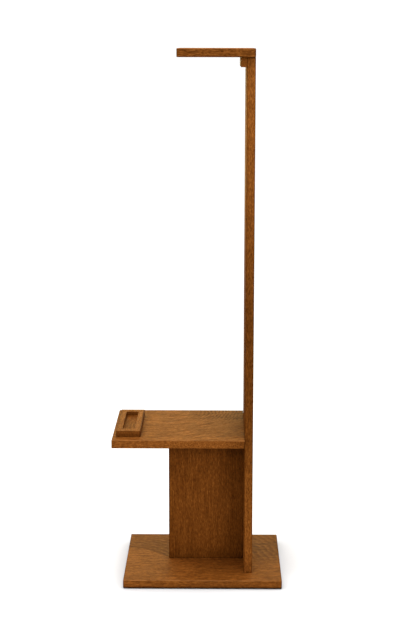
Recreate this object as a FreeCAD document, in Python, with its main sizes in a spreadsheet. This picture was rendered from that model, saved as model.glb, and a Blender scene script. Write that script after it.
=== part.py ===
"""Free-standing board stand: base, upright board, pedestal panel, shelf, tray and top arm.

Frame: +Z up, +X to the right, the front faces -Y. The origin is on the floor, in the middle of the
stand's outline seen from above. The boards are symmetric about the plane y = 0; only the tray sits a
little nearer the front. All lengths are millimetres.
"""

import FreeCAD, Part
import os
import Sketcher

doc = FreeCAD.newDocument("board_stand")

# Driving dimensions. Each one becomes a cell of the sheet, under the same alias.
DIMENSIONS = {
    "board_thickness": 18.0,    # one stock for the base, upright, panel, shelf and arm
    "edge_round": 1.8,          # eased edges of the boards
    "fine_round": 0.8,          # crisper edges of the upright, the cleat and the tray
    "overall_height": 1138.0,
    "base_width": 340.0,
    "base_depth": 290.0,
    "post_depth": 196.0,
    "post_setback": 63.0,       # right face of the upright, in from the right end of the base
    "panel_width": 165.0,
    "shelf_height": 324.0,      # top of the shelf above the floor
    "shelf_depth": 252.0,
    "shelf_overhang": 23.0,     # how far the shelf reaches past the left end of the base
    "arm_length": 161.0,
    "arm_lip": 10.0,            # how far the arm stands proud of the upright, front and back
    "cleat_thickness": 12.0,
    "cleat_height": 20.0,
    "cleat_screw_offset": 29.0,  # to each side of the middle, clear of the dowels in the upright
    "tray_width": 52.0,
    "tray_length": 178.0,
    "tray_height": 13.0,
    "tray_inset": 8.0,          # from the left end of the shelf
    "tray_setback": 28.0,       # from the front edge of the shelf
    "tray_side_wall": 12.75,
    "tray_end_wall": 18.0,
    "tray_floor": 4.0,
    "recess_corner": 3.0,
    "pad_diameter": 25.0,
    "pad_thickness": 1.5,
    "pad_inset": 30.0,          # centre of a pad, in from both edges of the base
    "joint_margin": 40.0,       # outer dowels and screws, in from the ends of a joint
    "dowel_diameter": 8.0,
    "dowel_length": 30.0,
    "dowel_shallow": 10.0,      # the shorter part of a dowel, in the face of a board
    "dowel_chamfer": 1.0,
    "hole_clearance": 0.1,      # a hole is this much wider than what it holds
    "end_room": 0.5,            # and this much deeper
    "base_screw_diameter": 5.0,
    "base_screw_head": 10.0,
    "base_screw_length": 50.0,
    "small_screw_diameter": 3.5,
    "small_screw_head": 7.0,
    "small_screw_length": 25.0,
    "screw_rim": 0.5,           # cylindrical rim of a countersunk head
    "screw_point": 4.0,
    "recess_depth": 1.6,        # cross recess in a screw head
    "recess_slot": 1.0,
}

# Places worked out from the driving dimensions, written as expressions on the sheet.
BASE_LEFT = "((sizes.shelf_overhang - sizes.base_width) / 2)"
BASE_RIGHT = "((sizes.shelf_overhang + sizes.base_width) / 2)"
SHELF_LEFT = f"(0 - {BASE_RIGHT})"
POST_RIGHT = f"({BASE_RIGHT} - sizes.post_setback)"
POST_LEFT = f"({POST_RIGHT} - sizes.board_thickness)"
PANEL_LEFT = f"({POST_LEFT} - sizes.panel_width)"
POST_FRONT = "(0 - sizes.post_depth / 2)"
PANEL_FRONT = "(0 - sizes.board_thickness / 2)"
SHELF_FRONT = "(0 - sizes.shelf_depth / 2)"
BASE_FRONT = "(0 - sizes.base_depth / 2)"
BASE_TOP = "(sizes.pad_thickness + sizes.board_thickness)"
SHELF_BOTTOM = "(sizes.shelf_height - sizes.board_thickness)"
POST_TOP = "(sizes.overall_height - sizes.board_thickness)"
HALF_BOARD = "(sizes.board_thickness / 2)"
PANEL_HEIGHT = f"({SHELF_BOTTOM} - {BASE_TOP})"
DOWEL_DEEP = "(sizes.dowel_length - sizes.dowel_shallow)"

# Joints along the depth of the upright have three fixings, counted from its front edge.
POST_FIXINGS = [
    "sizes.joint_margin",
    "(sizes.post_depth / 2)",
    "(sizes.post_depth - sizes.joint_margin)",
]
# Fixings along the top of the panel, from its left edge, and up its right edge, from its foot.
PANEL_TOP_FIXINGS = [
    "(sizes.joint_margin / 2)",
    "(sizes.panel_width / 2)",
    "(sizes.panel_width - sizes.joint_margin)",
]
PANEL_SIDE_FIXINGS = [
    "(sizes.joint_margin * 1.5)",
    f"({PANEL_HEIGHT} / 2)",
    f"({PANEL_HEIGHT} - sizes.joint_margin)",
]
PANEL_FOOT_FIXINGS = ["sizes.joint_margin", "(sizes.panel_width - sizes.joint_margin)"]
CLEAT_FIXINGS = [
    "(sizes.post_depth / 2 - sizes.cleat_screw_offset)",
    "(sizes.post_depth / 2 + sizes.cleat_screw_offset)",
]
TRAY_FIXINGS = ["(sizes.tray_end_wall / 2)", "(sizes.tray_length - sizes.tray_end_wall / 2)"]

sheet = doc.addObject("Spreadsheet::Sheet", "sizes")
for row, (alias, value) in enumerate(DIMENSIONS.items(), 1):
    sheet.set(f"A{row}", alias)
    sheet.set(f"B{row}", str(value))
    sheet.setAlias(f"B{row}", alias)
doc.recompute()

bodies = []


def new_body(name, x="0", y="0", z="0"):
    """An empty body whose own origin is at (x, y, z) of the stand."""
    body = doc.addObject("PartDesign::Body", name)
    body.Label = name
    for axis, expression in zip("xyz", (x, y, z)):
        body.setExpression(f"Placement.Base.{axis}", expression)
    return body


def new_sketch(body, name, role, height="0"):
    """A sketch parallel to one of the body's origin planes, lifted by height along its normal."""
    origin_plane = next(item for item in body.Origin.OriginFeatures if item.Role == role)
    sketch = body.newObject("Sketcher::SketchObject", name)
    sketch.AttachmentSupport = [(origin_plane, "")]
    sketch.MapMode = "FlatFace"
    sketch.setExpression("AttachmentOffset.Base.z", height)
    return sketch


def bind(sketch, constraint, name, expression):
    """Add a dimension to a sketch and tie it to an expression on the sheet."""
    index = sketch.addConstraint(constraint)
    sketch.renameConstraint(index, name)
    sketch.setExpression(f"Constraints.{name}", expression)


def line_loop(sketch, points):
    """Draw a closed loop of straight lines, joined end to end."""
    count = len(points)
    corners = [FreeCAD.Vector(x, y, 0) for x, y in points]
    for index in range(count):
        sketch.addGeometry(Part.LineSegment(corners[index], corners[(index + 1) % count]))
    for index in range(count):
        sketch.addConstraint(Sketcher.Constraint("Coincident", index, 2, (index + 1) % count, 1))


def rectangle(sketch, width, height, left="0", bottom="0"):
    """Draw a rectangle whose size and lower left corner are expressions."""
    line_loop(sketch, [(1, 1), (9, 1), (9, 9), (1, 9)])
    for line, kind in enumerate(("Horizontal", "Vertical", "Horizontal", "Vertical")):
        sketch.addConstraint(Sketcher.Constraint(kind, line))
    bind(sketch, Sketcher.Constraint("DistanceX", 0, 1, 0, 2, 8), "width", width)
    bind(sketch, Sketcher.Constraint("DistanceY", 1, 1, 1, 2, 8), "height", height)
    for kind, name, expression in (("DistanceX", "left", left), ("DistanceY", "bottom", bottom)):
        if expression == "0":
            axis = -2 if kind == "DistanceX" else -1
            sketch.addConstraint(Sketcher.Constraint("PointOnObject", 0, 1, axis))
        else:
            bind(sketch, Sketcher.Constraint(kind, -1, 1, 0, 1, 1), name, expression)


def circles(sketch, centres, diameter):
    """Draw equal circles whose centres and diameter are expressions."""
    for index, (x, y) in enumerate(centres):
        start = FreeCAD.Vector(10 + 10 * index, 10, 0)
        sketch.addGeometry(Part.Circle(start, FreeCAD.Vector(0, 0, 1), 2))
        bind(sketch, Sketcher.Constraint("DistanceX", -1, 1, index, 3, 10), f"x{index}", x)
        bind(sketch, Sketcher.Constraint("DistanceY", -1, 1, index, 3, 10), f"y{index}", y)
        if index:
            sketch.addConstraint(Sketcher.Constraint("Equal", 0, index))
    bind(sketch, Sketcher.Constraint("Diameter", 0, 4), "diameter", diameter)


def pad(body, name, sketch, length, reverse=False):
    """Raise a sketch into a solid."""
    feature = body.newObject("PartDesign::Pad", name)
    feature.Profile = sketch
    feature.Reversed = reverse
    feature.setExpression("Length", length)
    doc.recompute()
    return feature


def must_shrink(body, name, before):
    """Stop if a cut has taken nothing away."""
    if body.Shape.Volume > before - 1e-3:
        raise ValueError(f"{body.Name}: {name} cuts nothing")


def pocket(body, name, sketch, depth, reverse=False):
    """Cut a sketch into the body, against the sketch's normal unless reversed."""
    before = body.Shape.Volume
    feature = body.newObject("PartDesign::Pocket", name)
    feature.Profile = sketch
    feature.Reversed = reverse
    feature.setExpression("Length", depth)
    doc.recompute()
    must_shrink(body, name, before)
    return feature


def drill(body, name, role, centres, diameter, depth, height="0", reverse=False):
    """Drill equal plain holes; each is a little wider and deeper than what it holds."""
    sketch = new_sketch(body, f"{name}_centres", role, height)
    circles(sketch, centres, f"{diameter} + sizes.hole_clearance")
    return pocket(body, name, sketch, f"{depth} + sizes.end_room", reverse)


def countersink(body, name, role, centres, screw, reverse):
    """Drill equal countersunk holes right through, for one size of screw."""
    before = body.Shape.Volume
    sketch = new_sketch(body, f"{name}_centres", role)
    circles(sketch, centres, f"sizes.{screw}_diameter")
    doc.recompute()
    hole = body.newObject("PartDesign::Hole", name)
    hole.Profile = sketch
    doc.recompute()
    hole.Reversed = reverse
    hole.DepthType = "ThroughAll"
    hole.HoleCutType = "Countersink"
    hole.HoleCutCountersinkAngle = 90
    hole.setExpression("Diameter", f"sizes.{screw}_diameter + sizes.hole_clearance")
    hole.setExpression(
        "HoleCutDiameter", f"sizes.{screw}_head + 2 * sizes.screw_rim + sizes.hole_clearance"
    )
    doc.recompute()
    must_shrink(body, name, before)
    return hole


def ease(body, name, wanted, radius="sizes.edge_round"):
    """Round the straight edges of the body that the test wanted() picks."""
    feature = body.Tip
    chosen = []
    for number, edge in enumerate(feature.Shape.Edges, 1):
        if isinstance(edge.Curve, Part.Line) and wanted(edge.BoundBox):
            chosen.append(f"Edge{number}")
    fillet = body.newObject("PartDesign::Fillet", name)
    fillet.Base = (feature, chosen)
    fillet.setExpression("Radius", radius)
    doc.recompute()
    return fillet


def finish(body):
    """Count a body among the pieces that are written."""
    doc.recompute()
    bodies.append(body)
    return body


def copies(name, template, spots):
    """A piece made of equal solids: one copy of the template at each (x, y, z, turn)."""
    links = []
    for number, (x, y, z, turn) in enumerate(spots, 1):
        link = doc.addObject("App::Link", f"{name}_{number}")
        link.LinkedObject = template
        link.Placement = FreeCAD.Placement(FreeCAD.Vector(), turn)
        for axis, expression in zip("xyz", (x, y, z)):
            link.setExpression(f"Placement.Base.{axis}", expression)
        links.append(link)
    group = doc.addObject("Part::Compound", name)
    group.Label = name
    group.Links = links
    return finish(group)


UPWARD = FreeCAD.Rotation()
RIGHTWARD = FreeCAD.Rotation(FreeCAD.Vector(0, 1, 0), 90)


def make_base_plate():
    """Flat board on the floor pads, screwed from below to the upright and the panel."""
    body = new_body("base_plate", BASE_LEFT, BASE_FRONT, "sizes.pad_thickness")
    outline = new_sketch(body, "base_outline", "XY_Plane")
    rectangle(outline, "sizes.base_width", "sizes.base_depth")
    pad(body, "base_board", outline, "sizes.board_thickness")
    ease(body, "base_edges", lambda box: True)
    post_line = f"({POST_LEFT} - {BASE_LEFT} + {HALF_BOARD})"
    panel_line = f"({PANEL_LEFT} - {BASE_LEFT})"
    middle = "sizes.base_depth / 2"
    centres = [(post_line, f"{POST_FRONT} - {BASE_FRONT} + {along}") for along in POST_FIXINGS]
    centres += [(f"{panel_line} + {along}", middle) for along in PANEL_FOOT_FIXINGS]
    countersink(body, "base_screw_holes", "XY_Plane", centres, "base_screw", reverse=True)
    return finish(body)


def make_pedestal_panel():
    """Vertical board under the shelf, square to the upright and meeting it at mid-depth."""
    body = new_body("pedestal_panel", PANEL_LEFT, PANEL_FRONT, BASE_TOP)
    outline = new_sketch(body, "panel_outline", "XZ_Plane")
    rectangle(outline, "sizes.panel_width", PANEL_HEIGHT)
    pad(body, "panel_board", outline, "sizes.board_thickness", reverse=True)
    ease(body, "panel_edges", lambda box: box.XMax < 1 and box.ZLength > 1)
    foot = [(along, HALF_BOARD) for along in PANEL_FOOT_FIXINGS]
    bite = "(sizes.base_screw_length - sizes.board_thickness)"
    drill(body, "foot_pilots", "XY_Plane", foot, "sizes.base_screw_diameter", bite, reverse=True)
    top = [(along, HALF_BOARD) for along in PANEL_TOP_FIXINGS]
    drill(body, "top_dowel_holes", "XY_Plane", top, "sizes.dowel_diameter", DOWEL_DEEP, PANEL_HEIGHT)
    side = [(HALF_BOARD, along) for along in PANEL_SIDE_FIXINGS]
    drill(
        body, "side_dowel_holes", "YZ_Plane", side, "sizes.dowel_diameter", DOWEL_DEEP,
        "sizes.panel_width",
    )
    return finish(body)


def make_upright_post():
    """Tall board, seen edge-on from the front, that carries the shelf's end and the arm."""
    body = new_body("upright_post", POST_LEFT, POST_FRONT, BASE_TOP)
    length = f"({POST_TOP} - {BASE_TOP})"
    outline = new_sketch(body, "post_outline", "YZ_Plane")
    rectangle(outline, "sizes.post_depth", length)
    pad(body, "post_board", outline, "sizes.board_thickness")
    ease(body, "post_edges", lambda box: box.ZLength > 1, "sizes.fine_round")
    across = [(HALF_BOARD, along) for along in POST_FIXINGS]
    bite = "(sizes.base_screw_length - sizes.board_thickness)"
    drill(body, "foot_pilots", "XY_Plane", across, "sizes.base_screw_diameter", bite, reverse=True)
    drill(body, "arm_dowel_holes", "XY_Plane", across, "sizes.dowel_diameter", DOWEL_DEEP, length)
    shelf_line = f"({SHELF_BOTTOM} - {BASE_TOP} + {HALF_BOARD})"
    side = [(along, shelf_line) for along in POST_FIXINGS]
    side += [("sizes.post_depth / 2", along) for along in PANEL_SIDE_FIXINGS]
    drill(
        body, "side_dowel_holes", "YZ_Plane", side, "sizes.dowel_diameter", "sizes.dowel_shallow",
        reverse=True,
    )
    cleat_line = f"({length} - sizes.cleat_height / 2)"
    cleat = [(along, cleat_line) for along in CLEAT_FIXINGS]
    cleat_bite = "(sizes.small_screw_length - sizes.cleat_thickness)"
    drill(
        body, "cleat_pilots", "YZ_Plane", cleat, "sizes.small_screw_diameter", cleat_bite,
        reverse=True,
    )
    return finish(body)


def make_shelf():
    """Horizontal board that ends against the upright and reaches out past the base."""
    body = new_body("shelf", SHELF_LEFT, SHELF_FRONT, SHELF_BOTTOM)
    length = f"({POST_LEFT} - {SHELF_LEFT})"
    outline = new_sketch(body, "shelf_outline", "XY_Plane")
    rectangle(outline, length, "sizes.shelf_depth")
    board = pad(body, "shelf_board", outline, "sizes.board_thickness")
    end = board.Shape.BoundBox.XMax
    ease(body, "shelf_edges", lambda box: box.XMin < end - 1)
    panel_line = f"({PANEL_LEFT} - {SHELF_LEFT})"
    below = [(f"{panel_line} + {along}", "sizes.shelf_depth / 2") for along in PANEL_TOP_FIXINGS]
    drill(
        body, "panel_dowel_holes", "XY_Plane", below, "sizes.dowel_diameter",
        "sizes.dowel_shallow", reverse=True,
    )
    side = [(f"{POST_FRONT} - {SHELF_FRONT} + {along}", HALF_BOARD) for along in POST_FIXINGS]
    drill(
        body, "post_dowel_holes", "YZ_Plane", side, "sizes.dowel_diameter", DOWEL_DEEP, length
    )
    tray_line = "sizes.tray_inset + sizes.tray_width / 2"
    tray = [(tray_line, f"sizes.tray_setback + {along}") for along in TRAY_FIXINGS]
    countersink(body, "tray_screw_holes", "XY_Plane", tray, "small_screw", reverse=True)
    return finish(body)


def make_tray():
    """Small block with a rectangular recess, on the left end of the shelf."""
    body = new_body(
        "tray",
        f"{SHELF_LEFT} + sizes.tray_inset",
        f"{SHELF_FRONT} + sizes.tray_setback",
        "sizes.shelf_height",
    )
    outline = new_sketch(body, "tray_outline", "XY_Plane")
    rectangle(outline, "sizes.tray_width", "sizes.tray_length")
    pad(body, "tray_block", outline, "sizes.tray_height")
    opening = new_sketch(body, "recess_outline", "XY_Plane", "sizes.tray_height")
    rectangle(
        opening,
        "sizes.tray_width - 2 * sizes.tray_side_wall",
        "sizes.tray_length - 2 * sizes.tray_end_wall",
        "sizes.tray_side_wall",
        "sizes.tray_end_wall",
    )
    pocket(body, "recess", opening, "sizes.tray_height - sizes.tray_floor")
    floor = sheet.tray_floor
    wall = sheet.tray_side_wall
    inner = sheet.tray_width - wall
    ease(
        body,
        "recess_corners",
        lambda box: box.ZMin > floor - 0.1 and box.ZLength > 1 and wall - 1 < box.XMin < inner + 1,
        "sizes.recess_corner",
    )
    ease(
        body,
        "tray_edges",
        lambda box: box.ZMax > floor + 1 and not (box.ZLength > 1 and box.ZMin > 1),
        "sizes.fine_round",
    )
    holes = [("sizes.tray_width / 2", along) for along in TRAY_FIXINGS]
    bite = "(sizes.small_screw_length - sizes.board_thickness)"
    drill(body, "tray_pilots", "XY_Plane", holes, "sizes.small_screw_diameter", bite, reverse=True)
    return finish(body)


def make_top_arm():
    """Flat board on top of the upright, its right end flush with the upright's right face."""
    arm_left = f"({POST_RIGHT} - sizes.arm_length)"
    body = new_body("top_arm", arm_left, f"{POST_FRONT} - sizes.arm_lip", POST_TOP)
    outline = new_sketch(body, "arm_outline", "XY_Plane")
    rectangle(outline, "sizes.arm_length", "sizes.post_depth + 2 * sizes.arm_lip")
    pad(body, "arm_board", outline, "sizes.board_thickness")
    ease(body, "arm_edges", lambda box: True)
    post_line = f"(sizes.arm_length - {HALF_BOARD})"
    holes = [(post_line, f"sizes.arm_lip + {along}") for along in POST_FIXINGS]
    drill(
        body, "post_dowel_holes", "XY_Plane", holes, "sizes.dowel_diameter",
        "sizes.dowel_shallow", reverse=True,
    )
    return finish(body)


def make_arm_cleat():
    """Strip in the inner corner between the arm and the upright, screwed to the upright."""
    left = f"({POST_LEFT} - sizes.cleat_thickness)"
    body = new_body("arm_cleat", left, POST_FRONT, f"{POST_TOP} - sizes.cleat_height")
    outline = new_sketch(body, "cleat_outline", "YZ_Plane")
    rectangle(outline, "sizes.post_depth", "sizes.cleat_height")
    pad(body, "cleat_strip", outline, "sizes.cleat_thickness")
    top = sheet.cleat_height
    back = sheet.cleat_thickness
    ease(
        body,
        "cleat_edges",
        lambda box: box.ZMin < top - 1 and box.XMin < back - 1,
        "sizes.fine_round",
    )
    holes = [(along, "sizes.cleat_height / 2") for along in CLEAT_FIXINGS]
    countersink(body, "cleat_screw_holes", "YZ_Plane", holes, "small_screw", reverse=True)
    return finish(body)


def make_dowels():
    """Plain wooden dowels, hidden in the four joints between boards."""
    dowel = new_body("dowel_template")
    outline = new_sketch(dowel, "dowel_outline", "XY_Plane")
    circles(outline, [("0", "0")], "sizes.dowel_diameter")
    rod = pad(dowel, "dowel_rod", outline, "sizes.dowel_length")
    ends = dowel.newObject("PartDesign::Chamfer", "dowel_ends")
    ends.Base = (rod, ["Face2", "Face3"])
    ends.setExpression("Size", "sizes.dowel_chamfer")
    doc.recompute()
    post_line = f"{POST_LEFT} + {HALF_BOARD}"
    spots = []
    for along in POST_FIXINGS:
        depth = f"{POST_FRONT} + {along}"
        spots.append((post_line, depth, f"{POST_TOP} - {DOWEL_DEEP}", UPWARD))
        spots.append((f"{POST_LEFT} - {DOWEL_DEEP}", depth, f"{SHELF_BOTTOM} + {HALF_BOARD}", RIGHTWARD))
    for along in PANEL_TOP_FIXINGS:
        spots.append((f"{PANEL_LEFT} + {along}", "0", f"{SHELF_BOTTOM} - {DOWEL_DEEP}", UPWARD))
    for along in PANEL_SIDE_FIXINGS:
        spots.append((f"{POST_LEFT} - {DOWEL_DEEP}", "0", f"{BASE_TOP} + {along}", RIGHTWARD))
    return copies("joint_dowels", dowel, spots)


def make_screw(name, size):
    """A countersunk screw with a plain shank, its head's top face at the origin, driven along +Z."""
    screw = new_body(name)
    profile = new_sketch(screw, f"{name}_profile", "XZ_Plane")
    line_loop(profile, [(0, 0), (5, 0), (5, 1), (3, 4), (3, 40), (1, 44), (0, 44)])
    head = f"sizes.{size}_head / 2"
    shank = f"sizes.{size}_diameter / 2"
    length = f"sizes.{size}_length"
    corners = [
        ("head_top", 1, head, "0"),
        ("rim", 2, head, "sizes.screw_rim"),
        ("neck", 3, shank, f"sizes.screw_rim + {head} - {shank}"),
        ("shoulder", 4, shank, f"{length} - sizes.screw_point"),
        ("tip", 5, f"{shank} / 4", length),
        ("end", 6, "0", length),
    ]
    profile.addConstraint(Sketcher.Constraint("Coincident", 0, 1, -1, 1))
    for corner, line, radius, depth in corners:
        for kind, letter, expression, axis in (
            ("DistanceX", "radius", radius, -2), ("DistanceY", "depth", depth, -1)
        ):
            if expression == "0":
                profile.addConstraint(Sketcher.Constraint("PointOnObject", line, 1, axis))
            else:
                rule = Sketcher.Constraint(kind, -1, 1, line, 1, 1)
                bind(profile, rule, f"{corner}_{letter}", expression)
    turned = screw.newObject("PartDesign::Revolution", f"{name}_turned")
    turned.Profile = profile
    turned.ReferenceAxis = (profile, ["V_Axis"])
    turned.Angle = 360
    doc.recompute()
    cross = new_sketch(screw, f"{name}_cross", "XY_Plane")
    arm = f"sizes.{size}_head / 4"
    half = "sizes.recess_slot / 2"
    points = [(3, 1), (1, 1), (1, 3), (-1, 3), (-1, 1), (-3, 1)]
    points += [(-x, -y) for x, y in points]
    line_loop(cross, points)
    for index, (x, y) in enumerate(points):
        for kind, letter, value in (("DistanceX", "x", x), ("DistanceY", "y", y)):
            reach = arm if abs(value) == 3 else half
            sign = "" if value > 0 else "0 - "
            bind(
                cross, Sketcher.Constraint(kind, -1, 1, index, 1, value), f"{letter}{index}", sign + reach
            )
    pocket(screw, f"{name}_recess", cross, "sizes.recess_depth", reverse=True)
    return screw


def make_screws():
    """Two sizes of countersunk wood screw, each size one piece made of separate solids."""
    long_screw = make_screw("base_screw_template", "base_screw")
    floor = "sizes.pad_thickness"
    spots = []
    for along in POST_FIXINGS:
        spots.append((f"{POST_LEFT} + {HALF_BOARD}", f"{POST_FRONT} + {along}", floor, UPWARD))
    for along in PANEL_FOOT_FIXINGS:
        spots.append((f"{PANEL_LEFT} + {along}", "0", floor, UPWARD))
    copies("base_screws", long_screw, spots)

    short_screw = make_screw("small_screw_template", "small_screw")
    cleat_left = f"{POST_LEFT} - sizes.cleat_thickness"
    cleat_middle = f"{POST_TOP} - sizes.cleat_height / 2"
    tray_middle = f"{SHELF_LEFT} + sizes.tray_inset + sizes.tray_width / 2"
    spots = []
    for along in CLEAT_FIXINGS:
        spots.append((cleat_left, f"{POST_FRONT} + {along}", cleat_middle, RIGHTWARD))
    for along in TRAY_FIXINGS:
        depth = f"{SHELF_FRONT} + sizes.tray_setback + {along}"
        spots.append((tray_middle, depth, SHELF_BOTTOM, UPWARD))
    copies("small_screws", short_screw, spots)


def make_felt_pads():
    """Four thin round pads under the corners of the base."""
    pad_body = new_body("pad_template")
    outline = new_sketch(pad_body, "pad_outline", "XY_Plane")
    circles(outline, [("0", "0")], "sizes.pad_diameter")
    pad(pad_body, "pad_disc", outline, "sizes.pad_thickness")
    spots = []
    for x in (f"{BASE_LEFT} + sizes.pad_inset", f"{BASE_RIGHT} - sizes.pad_inset"):
        for y in (f"{BASE_FRONT} + sizes.pad_inset", f"0 - {BASE_FRONT} - sizes.pad_inset"):
            spots.append((x, y, "0", UPWARD))
    return copies("felt_pads", pad_body, spots)


def check_document():
    """Stop if any object failed, or if a piece has no valid shape."""
    for item in doc.Objects:
        if "Invalid" in item.State or "Error" in item.State:
            raise ValueError(f"{item.Name} failed: {item.State}")
    for piece in bodies:
        if piece.Shape.isNull() or not piece.Shape.isValid():
            raise ValueError(f"{piece.Name} has no valid shape")


make_base_plate()
make_pedestal_panel()
make_upright_post()
make_shelf()
make_tray()
make_top_arm()
make_arm_cleat()
make_dowels()
make_screws()
make_felt_pads()
doc.recompute()
check_document()

os.makedirs("parts", exist_ok=True)
for piece in bodies:
    piece.Shape.exportStep(f"parts/{piece.Label}.step")
    print(piece.Label, len(piece.Shape.Solids), "solids", round(piece.Shape.Volume), "mm3")
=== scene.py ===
"""The looks of the board stand: solid hardwood boards in a white studio.

Everything is in metres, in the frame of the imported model: +Z up, the front faces -Y.
"""

import math

import bpy
from mathutils import Matrix, Vector


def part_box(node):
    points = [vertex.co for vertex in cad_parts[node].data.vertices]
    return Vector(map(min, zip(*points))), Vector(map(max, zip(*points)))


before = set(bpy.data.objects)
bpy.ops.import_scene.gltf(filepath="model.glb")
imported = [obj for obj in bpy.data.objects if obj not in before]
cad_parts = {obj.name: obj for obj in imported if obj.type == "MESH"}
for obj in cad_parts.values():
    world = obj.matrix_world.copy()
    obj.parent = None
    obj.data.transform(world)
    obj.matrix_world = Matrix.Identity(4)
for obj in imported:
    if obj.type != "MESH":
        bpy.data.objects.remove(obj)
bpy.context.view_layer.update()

MM = 0.001
WHITE = (1.0, 1.0, 1.0)

# Linear colours of the oiled hardwood.
WOOD_STOPS = [
    (0.0, (0.078, 0.0215, 0.0028)),
    (0.5, (0.168, 0.0520, 0.0080)),
    (1.0, (0.295, 0.1010, 0.0190)),
]
OPEN_PORE = (0.045, 0.012, 0.0015)
# Colour of the painted highlight on the upper front arrises.
ARRIS_HIGHLIGHT = (0.36, 0.140, 0.036)

ARRIS_REACH = 3.0 * MM
TO_HIGHLIGHT = (0.0, -0.707, 0.707)   # the upper front arrises, facing up and forward, get a painted highlight

# Linear colours of the floor: a painted contact shadow next to the base, and plain white past the fade.
FLOOR_PAINTED_SHADOW = (0.77, 0.778, 0.792)
FLOOR_FAR = (0.94, 0.94, 0.94)
FLOOR_SHADOW_FADE = 60.0 * MM

# Noises in the wood: (features per metre along the grain, and across it, detail, roughness).
WOOD_NOISES = {
    "wander": (6.0, 14.0, 3.0, 0.55),       # slow wander of the growth rings
    "ripple": (40.0, 60.0, 2.0, 0.50),      # small waves in the growth rings
    "bands": (2.5, 30.0, 2.0, 0.50),        # long pale and dark bands
    "figure": (24.0, 130.0, 3.0, 0.80),     # wavy figure on the broad faces
    "streaks": (17.0, 500.0, 2.0, 0.80),
    "speckle": (105.0, 750.0, 1.0, 0.80),
    "grit": (200.0, 600.0, 1.0, 0.80),
    "fibre": (60.0, 1100.0, 2.0, 0.60),
    "pores": (120.0, 900.0, 1.0, 0.50),
}


# ---------------------------------------------------------------------------
# Node graph helpers
# ---------------------------------------------------------------------------


class Graph:
    """Short names for building one material's node tree."""

    def __init__(self, name):
        self.material = bpy.data.materials.new(name)
        self.material.use_nodes = True
        self.nodes = self.material.node_tree.nodes
        self.links = self.material.node_tree.links
        self.nodes.clear()

    def plug(self, socket, value):
        """Feed a socket from another socket, or set it to a plain value."""
        if isinstance(value, bpy.types.NodeSocket):
            self.links.new(value, socket)
        else:
            socket.default_value = value

    def math(self, operation, *values, clamp=False):
        node = self.nodes.new("ShaderNodeMath")
        node.operation = operation
        node.use_clamp = clamp
        for socket, value in zip(node.inputs, values):
            self.plug(socket, value)
        return node.outputs[0]

    def vector(self, operation, *values):
        node = self.nodes.new("ShaderNodeVectorMath")
        node.operation = operation
        for socket, value in zip(node.inputs, values):
            if value is not None:
                self.plug(socket, value)
        scalar = operation in ("DOT_PRODUCT", "LENGTH", "DISTANCE")
        return node.outputs["Value" if scalar else "Vector"]

    def combine(self, x, y, z):
        node = self.nodes.new("ShaderNodeCombineXYZ")
        for socket, value in zip(node.inputs, (x, y, z)):
            self.plug(socket, value)
        return node.outputs[0]

    def separate(self, vector):
        node = self.nodes.new("ShaderNodeSeparateXYZ")
        self.plug(node.inputs[0], vector)
        return node.outputs

    def noise(self, vector, scale=1.0, detail=2.0, roughness=0.5):
        node = self.nodes.new("ShaderNodeTexNoise")
        self.plug(node.inputs["Vector"], vector)
        node.inputs["Scale"].default_value = scale
        node.inputs["Detail"].default_value = detail
        node.inputs["Roughness"].default_value = roughness
        return node.outputs["Fac"]

    def remap(self, value, low, high, to_low=0.0, to_high=1.0, smooth=True):
        node = self.nodes.new("ShaderNodeMapRange")
        node.interpolation_type = "SMOOTHSTEP" if smooth else "LINEAR"
        for socket, number in zip(node.inputs, (value, low, high, to_low, to_high)):
            self.plug(socket, number)
        return node.outputs["Result"]

    def ramp(self, value, stops):
        """Colour ramp from (position, linear rgb) stops."""
        node = self.nodes.new("ShaderNodeValToRGB")
        elements = node.color_ramp.elements
        while len(elements) < len(stops):
            elements.new(0.5)
        for element, (position, colour) in zip(elements, stops):
            element.position = position
            element.color = (*colour, 1.0)
        self.plug(node.inputs[0], value)
        return node.outputs[0]

    def mix(self, factor, first, second):
        """Blend two colours; a plain colour is a linear rgb tuple."""
        node = self.nodes.new("ShaderNodeMix")
        node.data_type = "RGBA"
        self.plug(node.inputs["Factor"], factor)
        for name, value in (("A_Color", first), ("B_Color", second)):
            socket = next(item for item in node.inputs if item.identifier == name)
            self.plug(socket, (*value, 1.0) if isinstance(value, tuple) else value)
        return next(item for item in node.outputs if item.identifier == "Result_Color")

    def product(self, *values):
        """Multiply any number of values."""
        total = values[0]
        for value in values[1:]:
            total = self.math("MULTIPLY", total, value)
        return total

    def sway(self, value, weight, total):
        """Add a noise, centred on 0 and weighted, to a running total."""
        return self.math("MULTIPLY_ADD", self.math("SUBTRACT", value, 0.5), weight, total)

    def bump(self, height, distance, strength):
        node = self.nodes.new("ShaderNodeBump")
        node.inputs["Strength"].default_value = strength
        node.inputs["Distance"].default_value = distance
        self.plug(node.inputs["Height"], height)
        return node.outputs[0]

    def principled(self, **sockets):
        node = self.nodes.new("ShaderNodeBsdfPrincipled")
        for name, value in sockets.items():
            self.plug(node.inputs[name.replace("_", " ")], value)
        output = self.nodes.new("ShaderNodeOutputMaterial")
        self.links.new(node.outputs[0], output.inputs["Surface"])
        return self.material


# ---------------------------------------------------------------------------
# Wood
# ---------------------------------------------------------------------------


def wood_coordinates(graph, node, grain):
    """Position in the board as (along the grain, across it, through it), from the board's middle."""
    low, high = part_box(node)
    middle = (low + high) / 2
    place = graph.nodes.new("ShaderNodeTexCoord").outputs["Object"]
    local = graph.vector("SUBTRACT", place, tuple(middle))
    x, y, z = graph.separate(local)
    order = {"x": (x, y, z), "y": (y, x, z), "z": (z, y, x)}[grain]
    return local, order, (high - low) / 2


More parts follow.
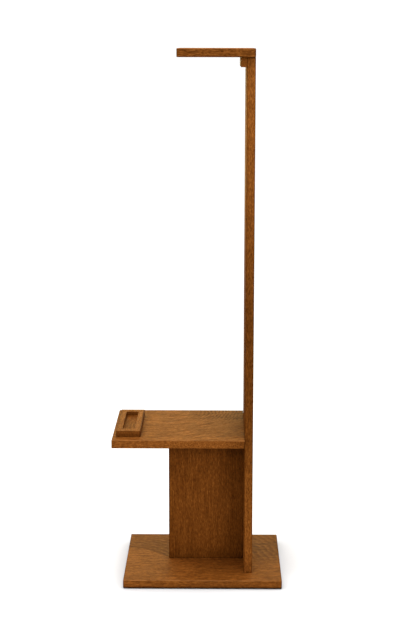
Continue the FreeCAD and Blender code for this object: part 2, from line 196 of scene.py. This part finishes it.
def arris_nearness(graph, local, half):
    """1 on the board's arrises, falling to 0 at ARRIS_REACH away from them."""
    distances = []
    for value, extent in zip(graph.separate(local), half):
        distances.append(graph.math("SUBTRACT", extent, graph.math("ABSOLUTE", value)))
    a, b, c = distances
    nearer = graph.math("MINIMUM", a, b)
    farther = graph.math("MAXIMUM", a, b)
    second = graph.math("MINIMUM", farther, graph.math("MAXIMUM", nearer, c))
    return graph.remap(second, 0.0, ARRIS_REACH, 1.0, 0.0)


def painted_shade_tone(graph, bands):
    """Painted shade multiplied into the wood's tone: darker towards other boards, at ends, and in bands
    across a board.

    Each band is (axis, place on it, reach to either side, tone at that place), in metres.
    """
    place = graph.separate(graph.nodes.new("ShaderNodeTexCoord").outputs["Object"])
    tones = [1.0]
    for axis, face, reach, darkest in bands:
        gap = graph.math("ABSOLUTE", graph.math("SUBTRACT", place["xyz".index(axis)], face))
        tones.append(graph.remap(gap, 0.0, reach, darkest, 1.0))
    return graph.product(*tones)


def growth_rings(graph, order, noises, heart, stretch, spacing):
    """Distance from the heart of the log, and the dark late wood of its rings, 0 to 1."""
    offset = graph.vector("SUBTRACT", graph.combine(*order), heart)
    offset = graph.vector("MULTIPLY", offset, (1.0 / stretch, 1.0, 1.0))
    radius = graph.vector("LENGTH", offset)
    wavy = graph.sway(noises["ripple"], 0.010, graph.sway(noises["wander"], 0.030, radius))
    phase = graph.math("FRACT", graph.math("DIVIDE", wavy, spacing))
    rise = graph.remap(phase, 0.1, 0.75)
    fall = graph.remap(phase, 0.8, 1.0, 1.0, 0.0)
    return radius, graph.product(rise, fall)


def wood(name, node, grain, seed, tone=1.0, hue=WHITE, heart=(0.0, 0.0, 0.0), stretch=3.0,
         ring=14.0, ring_depth=0.15, zones=(0.0, 0.3, 1.0, 1.0), back_from=None,
         bend=(0.0, 0.0), painted_shade_bands=(), figure_depth=0.9, speckle_depth=1.7, edge_tone=1.0,
         end_tone=0.72, arris_tone=0.58, gloss=0.012):
    """Oiled hardwood cut from one board, as a solid texture, so faces, edges and ends agree.

    tone and hue scale the wood's colour. heart is the middle of the growth rings, in metres
    along, across and through the board from its middle; stretch draws the rings out along the
    grain; ring is their spacing in millimetres. zones is (radius from, radius to, tone inside,
    tone outside): the plain inner wood and the outer wood, where the rings show; on the panel the
    darker tone outside is painted shade. back_from keeps the outer wood behind that line across.
    bend is (place along the board, slope): past that place the fibres run off across the board.
    The list of bands darkens the board with painted shade, band by band. The depths say how
    strongly the rings, the figure and the speckle show; the other tones are those of the board's
    narrow faces, of its end grain and of its arrises. gloss is the specular level.
    """
    graph = Graph(name)
    local, order, half = wood_coordinates(graph, node, grain)
    along, across, through = order

    bend_start, bend_slope = bend
    bent = graph.math("MAXIMUM", graph.math("SUBTRACT", along, bend_start), 0.0)
    fibre_across = graph.math("MULTIPLY_ADD", bent, -bend_slope, across)
    shift = (seed * 7.31, seed * 3.17, seed * 5.71)
    noises = {}
    for kind, (per_along, per_across, detail, roughness) in WOOD_NOISES.items():
        place = graph.combine(
            graph.math("MULTIPLY_ADD", along, per_along, shift[0]),
            graph.math("MULTIPLY_ADD", fibre_across, per_across, shift[1]),
            graph.math("MULTIPLY_ADD", through, per_across, shift[2]),
        )
        noises[kind] = graph.noise(place, detail=detail, roughness=roughness)
    pores = graph.remap(noises["pores"], 0.58, 0.68)

    radius, late_wood = growth_rings(graph, order, noises, heart, stretch, ring * MM)
    zone_start, zone_stop, inside, outside = zones
    outer = graph.remap(graph.sway(noises["ripple"], 0.012, radius), zone_start, zone_stop)
    if back_from is not None:
        outer = graph.product(outer, graph.remap(across, back_from - 0.03, back_from))

    normal = graph.nodes.new("ShaderNodeTexCoord").outputs["Normal"]
    facing = graph.separate(graph.vector("ABSOLUTE", normal))
    thin_axis = min(range(3), key=lambda axis: half[axis])
    broad = graph.remap(facing[thin_axis], 0.55, 0.85)
    end_grain = graph.remap(facing["xyz".index(grain)], 0.55, 0.95)
    arris = arris_nearness(graph, local, half)

    grey = graph.sway(noises["bands"], 0.25, 0.5)
    figure_weight = graph.math("MULTIPLY_ADD", broad, 0.8 * figure_depth, 0.2)
    grey = graph.sway(noises["figure"], figure_weight, grey)
    grey = graph.sway(noises["streaks"], graph.math("MULTIPLY_ADD", broad, 0.5, 0.6), grey)
    grey = graph.sway(noises["speckle"], speckle_depth, grey)
    grey = graph.sway(noises["grit"], graph.math("MULTIPLY_ADD", broad, -0.6, 1.2), grey)
    rings = graph.product(late_wood, graph.math("MULTIPLY_ADD", outer, 0.85, 0.15), broad)
    grey = graph.math("MULTIPLY_ADD", rings, -ring_depth, grey)
    tint = [tone * share for share in hue]
    colour = graph.ramp(
        grey, [(place, tuple(t * c for t, c in zip(tint, rgb))) for place, rgb in WOOD_STOPS]
    )
    colour = graph.mix(graph.product(pores, 0.45), colour, OPEN_PORE)

    level = graph.remap(
        broad, 0.0, 1.0, edge_tone, graph.remap(outer, 0.0, 1.0, inside, outside, smooth=False),
        smooth=False,
    )
    # The tone takes in the painted shade of the bands, and the end grain and arris tones.
    level = graph.product(
        level,
        painted_shade_tone(graph, painted_shade_bands),
        graph.remap(end_grain, 0.0, 1.0, 1.0, end_tone),
        graph.remap(arris, 0.0, 1.0, 1.0, arris_tone),
    )
    # Darker tone is also redder: painted shade is given the red of warm bounce light, and so are the
    # wood's own darker tones.
    shade = graph.combine(level, graph.math("POWER", level, 1.1), graph.math("POWER", level, 1.35))
    colour = graph.vector("MULTIPLY", colour, shade)

    # Painted highlight, in patches, on the upper front arrises that face up and forward.
    facing_highlight = graph.vector("DOT_PRODUCT", normal, TO_HIGHLIGHT)
    patchy = graph.remap(graph.noise(local, 55.0, 3.0), 0.35, 0.65, 0.4, 0.9)
    arris_highlight = graph.product(graph.remap(facing_highlight, 0.75, 0.93), arris, patchy)
    colour = graph.mix(arris_highlight, colour, ARRIS_HIGHLIGHT)

    height = graph.sway(noises["speckle"], 1.0, graph.product(pores, -1.0))
    height = graph.sway(noises["fibre"], 0.5, height)
    roughness = graph.math("MULTIPLY_ADD", noises["fibre"], 0.16, 0.50)
    roughness = graph.math("MULTIPLY_ADD", pores, 0.18, roughness)
    roughness = graph.math("MULTIPLY_ADD", end_grain, 0.14, roughness)
    return graph.principled(
        Base_Color=colour,
        Roughness=roughness,
        Normal=graph.bump(height, 0.12 * MM, 0.6),
        Specular_IOR_Level=gloss,
    )


def dowel_wood():
    """Pale plain beech of the hidden dowels."""
    graph = Graph("dowel_beech")
    place = graph.nodes.new("ShaderNodeTexCoord").outputs["Object"]
    grain = graph.noise(graph.vector("MULTIPLY", place, (900.0, 900.0, 60.0)), detail=3.0)
    colour = graph.ramp(grain, [(0.3, (0.46, 0.29, 0.14)), (0.7, (0.62, 0.43, 0.24))])
    return graph.principled(
        Base_Color=colour,
        Roughness=graph.remap(grain, 0.2, 0.8, 0.55, 0.7),
        Normal=graph.bump(grain, 0.1 * MM, 0.4),
    )


def screw_steel():
    """Zinc-plated steel, finely brushed and a little uneven."""
    graph = Graph("zinc_plated_steel")
    place = graph.nodes.new("ShaderNodeTexCoord").outputs["Object"]
    mottle = graph.noise(place, 700.0, 4.0, 0.6)
    colour = graph.ramp(mottle, [(0.3, (0.42, 0.42, 0.40)), (0.7, (0.62, 0.61, 0.57))])
    return graph.principled(
        Base_Color=colour,
        Metallic=1.0,
        Roughness=graph.remap(mottle, 0.25, 0.75, 0.24, 0.42),
        Normal=graph.bump(mottle, 0.03 * MM, 0.5),
    )


def pressed_felt():
    """Dark brown pressed felt of the floor pads."""
    graph = Graph("brown_felt")
    place = graph.nodes.new("ShaderNodeTexCoord").outputs["Object"]
    fuzz = graph.noise(place, 1500.0, 5.0, 0.7)
    colour = graph.ramp(fuzz, [(0.3, (0.018, 0.012, 0.008)), (0.75, (0.055, 0.038, 0.026))])
    return graph.principled(
        Base_Color=colour,
        Roughness=graph.remap(fuzz, 0.2, 0.8, 0.85, 1.0),
        Normal=graph.bump(fuzz, 0.3 * MM, 0.8),
    )


def paint(node, material):
    """Give a CAD node one material."""
    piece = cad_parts[node]
    piece.data.materials.clear()
    piece.data.materials.append(material)


def dress_boards():
    """One material per board, each with its own figure and the grain the right way."""
    base_under, base_top = (corner.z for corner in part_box("base_plate"))
    base_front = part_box("base_plate")[0].y
    base_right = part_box("base_plate")[1].x
    shelf_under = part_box("shelf")[0].z
    post_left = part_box("upright_post")[0].x
    arm_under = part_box("top_arm")[0].z
    tray_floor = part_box("tray")[0].z + 4.0 * MM
    panel_foot_shade_x = 0.03   # a band of painted shade across the base, in front of the foot of the panel
    post_dusk = 0.48     # painted shade: the post is darkest here, a little above the shelf
    paint("base_plate", wood(
        "base_wood", "base_plate", "x", 1.0, tone=1.10, heart=(-0.194, -0.0875, 0.0), stretch=1.0,
        ring_depth=0.30, zones=(0.139, 0.143, 1.33, 1.08), back_from=0.0, figure_depth=1.2,
        # Painted shade: a dark line along the underside, and darker towards the right end, the front
        # and the foot of the panel.
        painted_shade_bands=[
            ("z", base_under, 0.006, 0.10), ("x", base_right, 0.25, 0.84),
            ("y", base_front, 0.12, 0.82), ("x", panel_foot_shade_x, 0.09, 0.88),
        ],
        hue=(1.0, 0.97, 0.85), edge_tone=1.20, gloss=0.020,
    ))
    # The shelf darkens towards the post with painted shade.
    paint("shelf", wood(
        "shelf_wood", "shelf", "x", 2.0, tone=1.14, heart=(-0.11, 0.12, 0.0), stretch=1.0, ring=8.0,
        ring_depth=0.42, zones=(0.13, 0.18, 1.03, 0.95), back_from=0.055, bend=(-0.02, 0.45),
        figure_depth=2.1, painted_shade_bands=[("x", post_left, 0.060, 0.70)], edge_tone=0.93,
    ))
    paint("top_arm", wood("arm_wood", "top_arm", "x", 3.0, tone=0.83, gloss=0.002))
    # The post's bands are painted shade: a dark middle, and the arm's shadow just below it.
    paint("upright_post", wood(
        "post_wood", "upright_post", "z", 4.0, tone=1.15, gloss=0.002,
        painted_shade_bands=[
            ("z", post_dusk, 0.52, 0.54), ("z", arm_under, 0.035, 0.78), ("z", arm_under, 0.005, 0.62),
        ],
    ))
    # The panel's darkening is painted shade: its outer zone darkens it towards the shelf and the post,
    # and its bands under the shelf, by the post and by the base.
    paint("pedestal_panel", wood(
        "panel_wood", "pedestal_panel", "z", 5.0, tone=0.94, heart=(-0.14, -0.16, 0.0), stretch=2.0,
        ring_depth=0.14, zones=(0.14, 0.27, 1.06, 0.69), figure_depth=0.15, speckle_depth=1.4,
        hue=(1.0, 0.95, 0.78),
        painted_shade_bands=[
            ("z", shelf_under, 0.060, 0.16), ("x", post_left, 0.070, 0.72), ("z", base_top, 0.03, 0.85),
        ],
    ))
    # Painted shade: darker near the floor of the recess, and the dark arrises shade the tray's narrow
    # faces.
    paint("tray", wood(
        "tray_wood", "tray", "y", 6.0, tone=1.14, hue=(1.0, 0.98, 0.94), edge_tone=0.92,
        end_tone=0.90, arris_tone=0.42, painted_shade_bands=[("z", tray_floor, 0.005, 0.84)],
    ))
    # The cleat's bands are the arm's painted shadow just below it.
    paint("arm_cleat", wood(
        "cleat_wood", "arm_cleat", "y", 7.0, tone=1.20, end_tone=1.0, gloss=0.002, arris_tone=0.85,
        painted_shade_bands=[("z", arm_under, 0.035, 0.78), ("z", arm_under, 0.005, 0.62)],
    ))


# ---------------------------------------------------------------------------
# Studio
# ---------------------------------------------------------------------------


def add_camera():
    """Long lens, a little above the top of the arm and tipped down to the middle of the stand."""
    camera_data = bpy.data.cameras.new("camera")
    camera_data.sensor_fit = "VERTICAL"
    camera_data.sensor_height = 36.0
    camera_data.lens = 81.02
    camera_data.clip_end = 1000.0
    camera = bpy.data.objects.new("camera", camera_data)
    place = (0.0460, -2.9851, 1.1480)
    pitch, yaw, roll = (math.radians(angle) for angle in (10.839, 0.473, 0.093))
    camera.matrix_world = (
        Matrix.Translation(place)
        @ Matrix.Rotation(yaw, 4, "Z")
        @ Matrix.Rotation(math.radians(90) - pitch, 4, "X")
        @ Matrix.Rotation(roll, 4, "Z")
    )
    bpy.context.scene.collection.objects.link(camera)
    bpy.context.scene.camera = camera


def area_light(name, place, target, size, power, colour=WHITE, sheen_only=False):
    """A soft rectangular light; a sheen_only one is seen in reflections and lights nothing else."""
    light_data = bpy.data.lights.new(name, "AREA")
    light_data.shape = "RECTANGLE"
    light_data.size, light_data.size_y = size
    light_data.energy = power
    light_data.color = colour
    light = bpy.data.objects.new(name, light_data)
    light.location = place
    light.rotation_euler = (Vector(target) - light.location).to_track_quat("-Z", "Y").to_euler()
    light.visible_camera = False
    light.visible_diffuse = not sheen_only
    bpy.context.scene.collection.objects.link(light)


def white_world(strength):
    world = bpy.data.worlds.new("white_studio")
    world.use_nodes = True
    background = world.node_tree.nodes["Background"]
    background.inputs["Color"].default_value = (*WHITE, 1.0)
    background.inputs["Strength"].default_value = strength
    bpy.context.scene.world = world


def add_floor():
    """Wide white floor, greyed close to the base by a painted contact shadow."""
    mesh = bpy.data.meshes.new("floor")
    reach = 400.0
    corners = [(-reach, -reach, 0), (reach, -reach, 0), (reach, reach, 0), (-reach, reach, 0)]
    mesh.from_pydata(corners, [], [(0, 1, 2, 3)])
    floor = bpy.data.objects.new("floor", mesh)
    bpy.context.scene.collection.objects.link(floor)
    graph = Graph("floor_white_painted_shadow")
    place = graph.nodes.new("ShaderNodeTexCoord").outputs["Object"]
    low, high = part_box("base_plate")
    offset = graph.vector("SUBTRACT", place, tuple((low + high) / 2))
    beyond = graph.vector("SUBTRACT", graph.vector("ABSOLUTE", offset), tuple((high - low) / 2))
    gap = graph.vector("LENGTH", graph.vector("MAXIMUM", beyond, (0.0, 0.0, 0.0)))
    away = graph.remap(gap, 0.0, FLOOR_SHADOW_FADE, smooth=False)
    floor_with_painted_shadow = graph.mix(away, FLOOR_PAINTED_SHADOW, FLOOR_FAR)
    mesh.materials.append(graph.principled(Base_Color=floor_with_painted_shadow, Roughness=0.9))


dress_boards()
paint("joint_dowels", dowel_wood())
paint("base_screws", screw_steel())
paint("small_screws", screw_steel())
paint("felt_pads", pressed_felt())

bpy.context.scene.view_settings.view_transform = "Standard"
add_camera()
add_floor()
white_world(1.15)
area_light("top", place=(0.1, -0.25, 2.6), target=(0.0, 0.0, 0.3), size=(1.6, 1.0), power=22.0)
area_light(
    "back", place=(0.0, 2.7, 1.1), target=(0.0, 0.0, 0.2), size=(2.6, 1.3), power=60.0,
    colour=(1.0, 0.8, 0.2), sheen_only=True,
)
area_light("key", place=(-1.0, -0.4, 2.2), target=(0.0, 0.0, 0.6), size=(1.0, 1.0), power=11.0)
